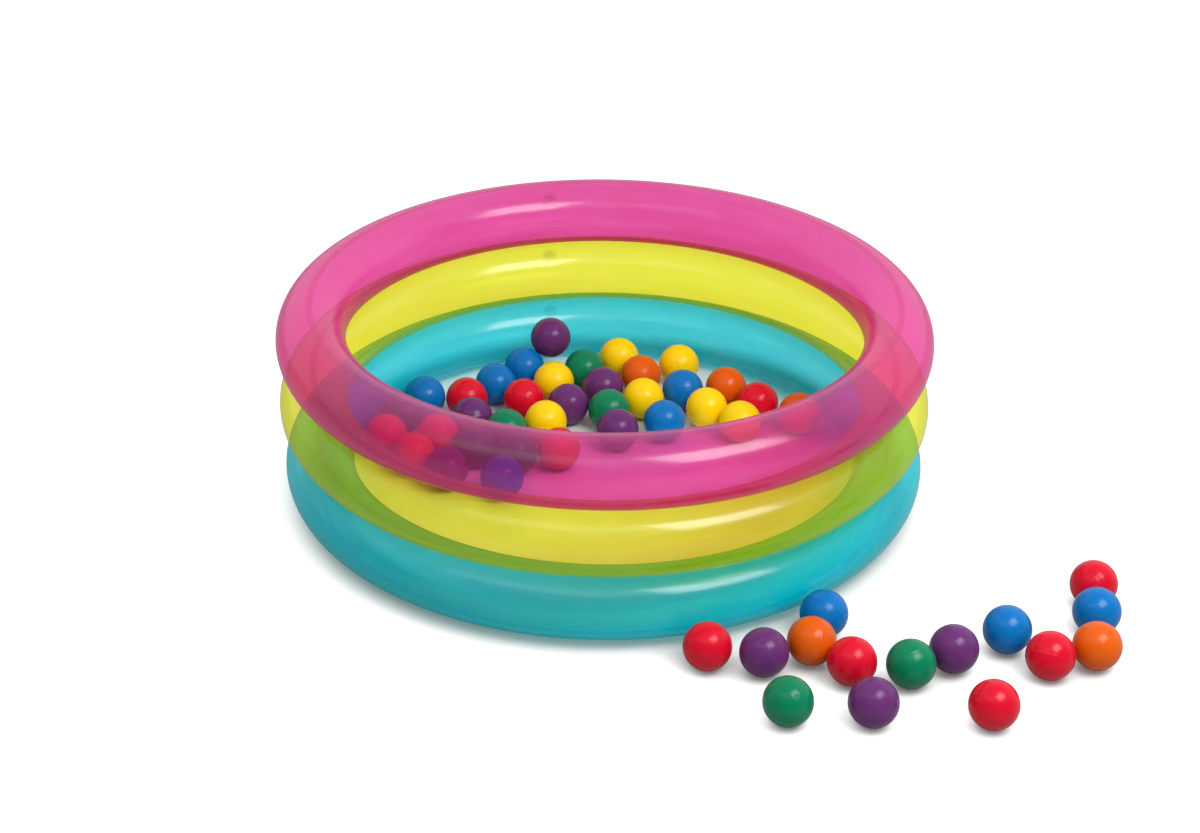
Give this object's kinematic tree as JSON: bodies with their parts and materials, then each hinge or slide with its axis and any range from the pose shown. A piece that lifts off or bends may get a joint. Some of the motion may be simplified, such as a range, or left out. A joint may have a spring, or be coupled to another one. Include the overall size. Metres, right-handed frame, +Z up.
{
  "type": "ball pit",
  "caption": "Round inflatable ball pit: stacked clear tinted film rings on a floor sheet, stoppered valves, and loose hollow play balls inside and beside it.",
  "frame": {"origin": "the middle of the floor sheet's underside, on the ground", "axes": "+Z up, -Y towards the side that faces the viewer in the picture, +X to that viewer's right"},
  "size_m": [1.0667, 1.0168, 0.2743],
  "materials": {
    "pink_film": "gloss",
    "yellow_film": "gloss",
    "aqua_film": "gloss",
    "pale_film": "gloss",
    "clear_vinyl": "satin",
    "red_ball": "satin",
    "orange_ball": "satin",
    "yellow_ball": "satin",
    "green_ball": "satin",
    "blue_ball": "satin",
    "purple_ball": "satin"
  },
  "bodies": {
    "pit": {"floor_sheet": "pale_film", "bottom_ring": "aqua_film", "middle_ring": "yellow_film", "top_ring": "pink_film", "bottom_valve_body": "clear_vinyl", "middle_valve_body": "clear_vinyl", "top_valve_body": "clear_vinyl"},
    "bottom_valve_stopper": {"bottom_valve_stopper": "clear_vinyl"},
    "middle_valve_stopper": {"middle_valve_stopper": "clear_vinyl"},
    "top_valve_stopper": {"top_valve_stopper": "clear_vinyl"},
    "ball_blue_01": {"ball_blue_01": "blue_ball"},
    "ball_blue_02": {"ball_blue_02": "blue_ball"},
    "ball_blue_03": {"ball_blue_03": "blue_ball"},
    "ball_blue_04": {"ball_blue_04": "blue_ball"},
    "ball_blue_05": {"ball_blue_05": "blue_ball"},
    "ball_blue_06": {"ball_blue_06": "blue_ball"},
    "ball_blue_07": {"ball_blue_07": "blue_ball"},
    "ball_blue_08": {"ball_blue_08": "blue_ball"},
    "ball_blue_09": {"ball_blue_09": "blue_ball"},
    "ball_green_01": {"ball_green_01": "green_ball"},
    "ball_green_02": {"ball_green_02": "green_ball"},
    "ball_green_03": {"ball_green_03": "green_ball"},
    "ball_green_04": {"ball_green_04": "green_ball"},
    "ball_green_05": {"ball_green_05": "green_ball"},
    "ball_green_06": {"ball_green_06": "green_ball"},
    "ball_green_07": {"ball_green_07": "green_ball"},
    "ball_green_08": {"ball_green_08": "green_ball"},
    "ball_orange_01": {"ball_orange_01": "orange_ball"},
    "ball_orange_02": {"ball_orange_02": "orange_ball"},
    "ball_orange_03": {"ball_orange_03": "orange_ball"},
    "ball_orange_04": {"ball_orange_04": "orange_ball"},
    "ball_orange_05": {"ball_orange_05": "orange_ball"},
    "ball_orange_06": {"ball_orange_06": "orange_ball"},
    "ball_purple_01": {"ball_purple_01": "purple_ball"},
    "ball_purple_02": {"ball_purple_02": "purple_ball"},
    "ball_purple_03": {"ball_purple_03": "purple_ball"},
    "ball_purple_04": {"ball_purple_04": "purple_ball"},
    "ball_purple_05": {"ball_purple_05": "purple_ball"},
    "ball_purple_06": {"ball_purple_06": "purple_ball"},
    "ball_purple_07": {"ball_purple_07": "purple_ball"},
    "ball_purple_08": {"ball_purple_08": "purple_ball"},
    "ball_purple_09": {"ball_purple_09": "purple_ball"},
    "ball_red_01": {"ball_red_01": "red_ball"},
    "ball_red_02": {"ball_red_02": "red_ball"},
    "ball_red_03": {"ball_red_03": "red_ball"},
    "ball_red_04": {"ball_red_04": "red_ball"},
    "ball_red_05": {"ball_red_05": "red_ball"},
    "ball_red_06": {"ball_red_06": "red_ball"},
    "ball_red_07": {"ball_red_07": "red_ball"},
    "ball_red_08": {"ball_red_08": "red_ball"},
    "ball_red_09": {"ball_red_09": "red_ball"},
    "ball_red_10": {"ball_red_10": "red_ball"},
    "ball_red_11": {"ball_red_11": "red_ball"},
    "ball_yellow_01": {"ball_yellow_01": "yellow_ball"},
    "ball_yellow_02": {"ball_yellow_02": "yellow_ball"},
    "ball_yellow_03": {"ball_yellow_03": "yellow_ball"},
    "ball_yellow_04": {"ball_yellow_04": "yellow_ball"},
    "ball_yellow_05": {"ball_yellow_05": "yellow_ball"},
    "ball_yellow_06": {"ball_yellow_06": "yellow_ball"},
    "ball_yellow_07": {"ball_yellow_07": "yellow_ball"}
  },
  "joints": [
    {"name": "bottom_stopper_hinge", "type": "hinge", "parent": "pit", "child": "bottom_valve_stopper", "pos_m": [-0.09066, 0.42196, 0.0462], "axis": [0, 0, 1], "range_deg": [0, 160]},
    {"name": "middle_stopper_hinge", "type": "hinge", "parent": "pit", "child": "middle_valve_stopper", "pos_m": [-0.09125, 0.42489, 0.1375], "axis": [0, 0, 1], "range_deg": [0, 160]},
    {"name": "top_stopper_hinge", "type": "hinge", "parent": "pit", "child": "top_valve_stopper", "pos_m": [-0.09125, 0.42489, 0.2288], "axis": [0, 0, 1], "range_deg": [0, 160]},
    {"name": "blue_01_lift", "type": "slide", "parent": "pit", "child": "ball_blue_01", "axis": [0, 0, 1], "range_m": [0, 0.2743]},
    {"name": "blue_02_lift", "type": "slide", "parent": "pit", "child": "ball_blue_02", "axis": [0, 0, 1], "range_m": [0, 0.2743]},
    {"name": "blue_03_lift", "type": "slide", "parent": "pit", "child": "ball_blue_03", "axis": [0, 0, 1], "range_m": [0, 0.2743]},
    {"name": "blue_04_lift", "type": "slide", "parent": "pit", "child": "ball_blue_04", "axis": [0, 0, 1], "range_m": [0, 0.2743]},
    {"name": "blue_05_lift", "type": "slide", "parent": "pit", "child": "ball_blue_05", "axis": [0, 0, 1], "range_m": [0, 0.2743]},
    {"name": "blue_06_lift", "type": "slide", "parent": "pit", "child": "ball_blue_06", "axis": [0, 0, 1], "range_m": [0, 0.2743]},
    {"name": "blue_07_lift", "type": "slide", "parent": "pit", "child": "ball_blue_07", "axis": [0, 0, 1], "range_m": [0, 0.2743]},
    {"name": "blue_08_lift", "type": "slide", "parent": "pit", "child": "ball_blue_08", "axis": [0, 0, 1], "range_m": [0, 0.2743]},
    {"name": "blue_09_lift", "type": "slide", "parent": "pit", "child": "ball_blue_09", "axis": [0, 0, 1], "range_m": [0, 0.2743]},
    {"name": "green_01_lift", "type": "slide", "parent": "pit", "child": "ball_green_01", "axis": [0, 0, 1], "range_m": [0, 0.2743]},
    {"name": "green_02_lift", "type": "slide", "parent": "pit", "child": "ball_green_02", "axis": [0, 0, 1], "range_m": [0, 0.2743]},
    {"name": "green_03_lift", "type": "slide", "parent": "pit", "child": "ball_green_03", "axis": [0, 0, 1], "range_m": [0, 0.2743]},
    {"name": "green_04_lift", "type": "slide", "parent": "pit", "child": "ball_green_04", "axis": [0, 0, 1], "range_m": [0, 0.2743]},
    {"name": "green_05_lift", "type": "slide", "parent": "pit", "child": "ball_green_05", "axis": [0, 0, 1], "range_m": [0, 0.2743]},
    {"name": "green_06_lift", "type": "slide", "parent": "pit", "child": "ball_green_06", "axis": [0, 0, 1], "range_m": [0, 0.2743]},
    {"name": "green_07_lift", "type": "slide", "parent": "pit", "child": "ball_green_07", "axis": [0, 0, 1], "range_m": [0, 0.2743]},
    {"name": "green_08_lift", "type": "slide", "parent": "pit", "child": "ball_green_08", "axis": [0, 0, 1], "range_m": [0, 0.2743]},
    {"name": "orange_01_lift", "type": "slide", "parent": "pit", "child": "ball_orange_01", "axis": [0, 0, 1], "range_m": [0, 0.2743]},
    {"name": "orange_02_lift", "type": "slide", "parent": "pit", "child": "ball_orange_02", "axis": [0, 0, 1], "range_m": [0, 0.2743]},
    {"name": "orange_03_lift", "type": "slide", "parent": "pit", "child": "ball_orange_03", "axis": [0, 0, 1], "range_m": [0, 0.2743]},
    {"name": "orange_04_lift", "type": "slide", "parent": "pit", "child": "ball_orange_04", "axis": [0, 0, 1], "range_m": [0, 0.2743]},
    {"name": "orange_05_lift", "type": "slide", "parent": "pit", "child": "ball_orange_05", "axis": [0, 0, 1], "range_m": [0, 0.2743]},
    {"name": "orange_06_lift", "type": "slide", "parent": "pit", "child": "ball_orange_06", "axis": [0, 0, 1], "range_m": [0, 0.2743]},
    {"name": "purple_01_lift", "type": "slide", "parent": "pit", "child": "ball_purple_01", "axis": [0, 0, 1], "range_m": [0, 0.2743]},
    {"name": "purple_02_lift", "type": "slide", "parent": "pit", "child": "ball_purple_02", "axis": [0, 0, 1], "range_m": [0, 0.2743]},
    {"name": "purple_03_lift", "type": "slide", "parent": "pit", "child": "ball_purple_03", "axis": [0, 0, 1], "range_m": [0, 0.2743]},
    {"name": "purple_04_lift", "type": "slide", "parent": "pit", "child": "ball_purple_04", "axis": [0, 0, 1], "range_m": [0, 0.2743]},
    {"name": "purple_05_lift", "type": "slide", "parent": "pit", "child": "ball_purple_05", "axis": [0, 0, 1], "range_m": [0, 0.2743]},
    {"name": "purple_06_lift", "type": "slide", "parent": "ball_blue_01", "child": "ball_purple_06", "axis": [0, 0, 1], "range_m": [0, 0.2743]},
    {"name": "purple_07_lift", "type": "slide", "parent": "pit", "child": "ball_purple_07", "axis": [0, 0, 1], "range_m": [0, 0.2743]},
    {"name": "purple_08_lift", "type": "slide", "parent": "pit", "child": "ball_purple_08", "axis": [0, 0, 1], "range_m": [0, 0.2743]},
    {"name": "purple_09_lift", "type": "slide", "parent": "pit", "child": "ball_purple_09", "axis": [0, 0, 1], "range_m": [0, 0.2743]},
    {"name": "red_01_lift", "type": "slide", "parent": "pit", "child": "ball_red_01", "axis": [0, 0, 1], "range_m": [0, 0.2743]},
    {"name": "red_02_lift", "type": "slide", "parent": "pit", "child": "ball_red_02", "axis": [0, 0, 1], "range_m": [0, 0.2743]},
    {"name": "red_03_lift", "type": "slide", "parent": "pit", "child": "ball_red_03", "axis": [0, 0, 1], "range_m": [0, 0.2743]},
    {"name": "red_04_lift", "type": "slide", "parent": "pit", "child": "ball_red_04", "axis": [0, 0, 1], "range_m": [0, 0.2743]},
    {"name": "red_05_lift", "type": "slide", "parent": "pit", "child": "ball_red_05", "axis": [0, 0, 1], "range_m": [0, 0.2743]},
    {"name": "red_06_lift", "type": "slide", "parent": "pit", "child": "ball_red_06", "axis": [0, 0, 1], "range_m": [0, 0.2743]},
    {"name": "red_07_lift", "type": "slide", "parent": "pit", "child": "ball_red_07", "axis": [0, 0, 1], "range_m": [0, 0.2743]},
    {"name": "red_08_lift", "type": "slide", "parent": "pit", "child": "ball_red_08", "axis": [0, 0, 1], "range_m": [0, 0.2743]},
    {"name": "red_09_lift", "type": "slide", "parent": "pit", "child": "ball_red_09", "axis": [0, 0, 1], "range_m": [0, 0.2743]},
    {"name": "red_10_lift", "type": "slide", "parent": "pit", "child": "ball_red_10", "axis": [0, 0, 1], "range_m": [0, 0.2743]},
    {"name": "red_11_lift", "type": "slide", "parent": "pit", "child": "ball_red_11", "axis": [0, 0, 1], "range_m": [0, 0.2743]},
    {"name": "yellow_01_lift", "type": "slide", "parent": "pit", "child": "ball_yellow_01", "axis": [0, 0, 1], "range_m": [0, 0.2743]},
    {"name": "yellow_02_lift", "type": "slide", "parent": "pit", "child": "ball_yellow_02", "axis": [0, 0, 1], "range_m": [0, 0.2743]},
    {"name": "yellow_03_lift", "type": "slide", "parent": "pit", "child": "ball_yellow_03", "axis": [0, 0, 1], "range_m": [0, 0.2743]},
    {"name": "yellow_04_lift", "type": "slide", "parent": "pit", "child": "ball_yellow_04", "axis": [0, 0, 1], "range_m": [0, 0.2743]},
    {"name": "yellow_05_lift", "type": "slide", "parent": "pit", "child": "ball_yellow_05", "axis": [0, 0, 1], "range_m": [0, 0.2743]},
    {"name": "yellow_06_lift", "type": "slide", "parent": "pit", "child": "ball_yellow_06", "axis": [0, 0, 1], "range_m": [0, 0.2743]},
    {"name": "yellow_07_lift", "type": "slide", "parent": "pit", "child": "ball_yellow_07", "axis": [0, 0, 1], "range_m": [0, 0.2743]}
  ]
}
